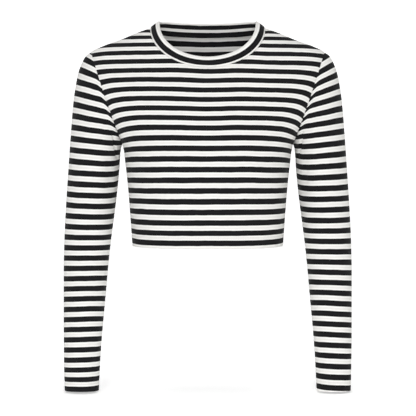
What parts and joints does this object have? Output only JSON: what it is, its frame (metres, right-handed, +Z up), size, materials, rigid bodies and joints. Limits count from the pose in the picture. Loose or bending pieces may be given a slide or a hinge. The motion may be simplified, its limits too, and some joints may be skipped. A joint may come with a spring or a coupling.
{
  "type": "long-sleeved cropped top",
  "caption": "Long-sleeved cropped jersey top with crosswise stripes and a round neckband, open and filled out as worn.",
  "frame": {"origin": "midway between the two points where a shoulder seam meets the neckband, which is where the wearer's shoulders carry the top", "axes": "+Z up, -Y to the front of the top, +X to the wearer's left arm"},
  "size_m": [0.4906, 0.2105, 0.6269],
  "materials": {
    "jersey": "matt cotton jersey knit, off-white with near-black crosswise stripes",
    "neckband_jersey": "matt rib jersey folded double, one near-black stripe between off-white edges"
  },
  "bodies": {
    "root": {"front": "jersey", "back": "jersey", "sleeve_right": "jersey", "sleeve_left": "jersey", "neckband": "neckband_jersey"}
  },
  "joints": []
}
